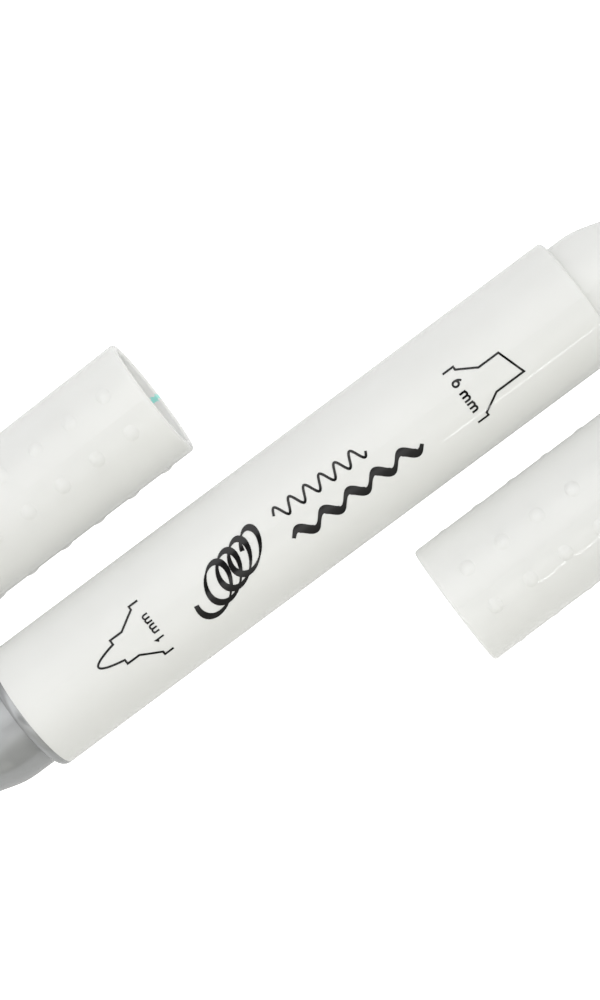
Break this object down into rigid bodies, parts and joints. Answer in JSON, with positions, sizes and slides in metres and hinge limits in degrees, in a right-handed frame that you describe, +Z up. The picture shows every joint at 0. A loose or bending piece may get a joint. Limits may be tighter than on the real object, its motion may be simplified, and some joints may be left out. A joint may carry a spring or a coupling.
{
  "type": "felt tip marker",
  "caption": "Round white twin-tip felt marker with a bullet nib and a chisel nib on tapered noses, and both bumped caps pulled off and lying beside the barrel.",
  "frame": {"origin": "on the barrel's axis at the middle of the barrel's length", "axes": "+X along the barrel towards the broad (chisel) end, +Z up from the surface that the marker lies on, so the fine cap lies on the +Y side and the broad cap on the -Y side"},
  "size_m": [0.1239, 0.0551, 0.0156],
  "materials": {
    "white_plastic": "glossy moulded plastic",
    "grey_plastic": "satin moulded plastic",
    "liner_plastic": "soft waxy plastic",
    "ink_colour_plastic": "glossy turquoise plastic",
    "nib_felt": "pressed felt soaked with turquoise ink",
    "core_fibre": "bundled fibre soaked with ink",
    "core_film": "thin clear film",
    "print_ink": "thin matt black print"
  },
  "bodies": {
    "pen": {"barrel": "white_plastic", "fine_nose": "grey_plastic", "ink_core": "core_fibre", "core_film": "core_film"},
    "fine_nib_body": {"fine_nib": "nib_felt"},
    "broad_nib_body": {"broad_nib": "nib_felt"},
    "fine_cap_body": {"fine_cap": "white_plastic", "fine_cap_liner": "liner_plastic", "fine_cap_plug": "ink_colour_plastic"},
    "broad_cap_body": {"broad_cap": "white_plastic", "broad_cap_liner": "liner_plastic", "broad_cap_plug": "ink_colour_plastic"}
  },
  "joints": [
    {"name": "fine_cap_pull", "type": "slide", "parent": "pen", "child": "fine_cap_body", "axis": [-0.9999, -0.014, 0], "range_m": [0, 0.026]},
    {"name": "broad_cap_pull", "type": "slide", "parent": "pen", "child": "broad_cap_body", "axis": [1, 0.007, 0], "range_m": [0, 0.021]},
    {"name": "fine_nib_pull", "type": "slide", "parent": "pen", "child": "fine_nib_body", "axis": [-1, 0, 0], "range_m": [0, 0.027]},
    {"name": "broad_nib_pull", "type": "slide", "parent": "pen", "child": "broad_nib_body", "axis": [1, 0, 0], "range_m": [0, 0.02]}
  ]
}
